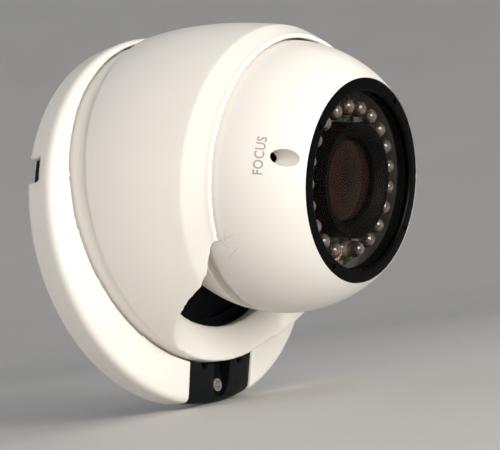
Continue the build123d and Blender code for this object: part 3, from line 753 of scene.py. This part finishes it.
def led_set(name, outline, segments):
    """The same small turned shape at every emitter's place, as one mesh."""
    angle = np.linspace(0, 2 * np.pi, segments, endpoint=False)[:, None]
    turn = 2 * np.pi * np.arange(1, LED_COUNT)[:, None, None] / LED_COUNT
    points = BALL.at(LED_CIRCLE * np.cos(turn) + outline[None, None, :, 0] * np.cos(angle)[None],
                     LED_CIRCLE * np.sin(turn) + outline[None, None, :, 0] * np.sin(angle)[None],
                     outline[None, None, :, 1] + 0 * angle[None])
    number = np.arange(points.shape[0] * segments * len(outline)).reshape(-1, segments, len(outline))
    wrap = np.concatenate([number, number[:, :1]], axis=1)
    quads = np.stack([wrap[:, :-1, :-1], wrap[:, 1:, :-1], wrap[:, 1:, 1:], wrap[:, :-1, 1:]], axis=-1)
    mesh = bpy.data.meshes.new(name)
    mesh.from_pydata(points.reshape(-1, 3).tolist(), [], quads.reshape(-1, 4).tolist())
    mesh.polygons.foreach_set("use_smooth", np.ones(len(mesh.polygons), bool))
    piece = bpy.data.objects.new(name, mesh)
    bpy.context.scene.collection.objects.link(piece)
    apply_modifier(piece, "WELD", merge_threshold=0.001 * MM)
    return outward(piece)


epoxy = Paint("emitter_epoxy_painted_light")
offset = epoxy.vector("SUBTRACT", epoxy.place(), tuple(BALL.origin))
height = epoxy.vector("DOT_PRODUCT", offset, tuple(BALL.z), out="Value")
# Painted light by height up each emitter: a painted reflection for the bright cup band, painted shade in the
# dome above it and a painted highlight at the crown.
level = epoxy.step(height, 0.0190, 0.0262)
cloudy = epoxy.noise(900.0, 3.0, 0.6)
body = epoxy.ramp(level + (cloudy - 0.5) * 0.7, (0.0, (0.06, 0.045, 0.04)), (0.28, (0.34, 0.28, 0.27)),
                  (0.45, (0.09, 0.065, 0.06)), (0.75, (0.030, 0.021, 0.020)), (1.0, (0.20, 0.16, 0.155)))
domes = led_set("emitter_domes", led_outline, 20)
fit(domes, "ball", epoxy.finish(Base_Color=body, Roughness=cloudy * 0.06 + 0.05, Specular_IOR_Level=0.9),
    "emitter", "ir_leds")
cell = Paint("sensor_cell")
comb = cell.ramp(cell.noise(1600.0, 0.0), (0.48, (0, 0, 0)), (0.52, (1, 1, 1)))
wear(frame["nodes"]["light_sensor"], cell.finish(
    Base_Color=cell.mix(comb, (0.35, 0.16, 0.05), (0.62, 0.52, 0.40)), Roughness=comb * 0.2 + 0.25))
soft_edges(frame["nodes"]["light_sensor"], 0.2, 2)

# ---------------------------------------------------------------------------
# Lens hood and lens: black rubber tube that keeps the emitters' light out, the black
# barrel and holder, and a coated front element held in the hood's mouth, coloured with
# painted shade and a painted reflection of its coating.
hood = turned("hood_rubber", BALL, rounded([
    (16.0, 10.5), (17.2, 12), (17.2, 27.3), (15.6, 27.3), (12.7, 24.8), (12.7, 23), (14.1, 21), (14.1, 10.5)],
    (0.2, 0.2, 0.35, 0.6, 0.5, 0.3, 0.3, 0.2)), 144)
fit(hood, "ball", black_rubber, "rubber", "lens_hood")
barrel_paint = black_plastic("barrel_black", (0.0020, 0.0019, 0.0019), 0.32, 0.06)
for name in ("lens_barrel", "lens_holder"):
    wear(frame["nodes"][name], barrel_paint)
    soft_edges(frame["nodes"][name], 0.12, 2)
LENS_RADIUS = 12.65
LENS_FRONT = 24.4
LENS_BACK = 22.85
LENS_CROWN = 1.3
# Painted light: the opaque glass is near black as painted shade for the dark lens behind it, and a
# brownish-red painted reflection of the coating grows towards the rim before a dark edge; the rear lens,
# filter and sensor take the same colours.
dome_paint = Paint("lens_coating_painted_reflection")
radial = dome_paint.vector("DISTANCE", dome_paint.place(), tuple(BALL.at(0, 0, 24.5)), out="Value")
painted_coating_reflection = dome_paint.ramp(radial * 80.0, (0.0, (0.005, 0.0025, 0.002)), (0.55, (0.016, 0.007, 0.005)),
                       (0.85, (0.022, 0.009, 0.007)), (1.0, (0.003, 0.003, 0.004)))
lens_material = dome_paint.finish(Base_Color=painted_coating_reflection, Roughness=0.05, Specular_IOR_Level=0.16,
                                  Specular_Tint=(0.80, 0.42, 0.34))
across = np.linspace(0.0, LENS_RADIUS, 24)
crown = LENS_FRONT - LENS_CROWN * (across / LENS_RADIUS) ** 2
lens_outline = np.concatenate([np.stack([across, crown], axis=-1),
                               np.array(((LENS_RADIUS, LENS_BACK), (0.0, LENS_BACK)))])
front_glass = turned("front_element", BALL, lens_outline, 128)
apply_modifier(front_glass, "WELD", merge_threshold=0.001 * MM)
fit(front_glass, "ball", lens_material, "lens_glass", "front_lens")
for name in ("rear_lens", "ir_cut_filter", "image_sensor"):
    wear(frame["nodes"][name], lens_material)

# ---------------------------------------------------------------------------
# Moving plastic: pan washer, tilt shoes, gears and idlers, natural and black nylon.
nylon = Paint("nylon_natural")
cloud = nylon.noise(300.0, 3.0)
nylon_white = nylon.finish(Base_Color=nylon.mix(cloud, (0.62, 0.60, 0.54), (0.70, 0.68, 0.62)),
                           Roughness=cloud * 0.2 + 0.35, Subsurface_Weight=0.05)
for name in ("pan_washer", "tilt_shoes", "focus_idler", "zoom_idler"):
    wear(frame["nodes"][name], nylon_white)
gear_black = black_plastic("gear_black", (0.03, 0.03, 0.032), 0.4)
for name in ("focus_ring", "zoom_ring"):
    wear(frame["nodes"][name], gear_black)

bpy.context.scene.view_settings.view_transform = "Standard"
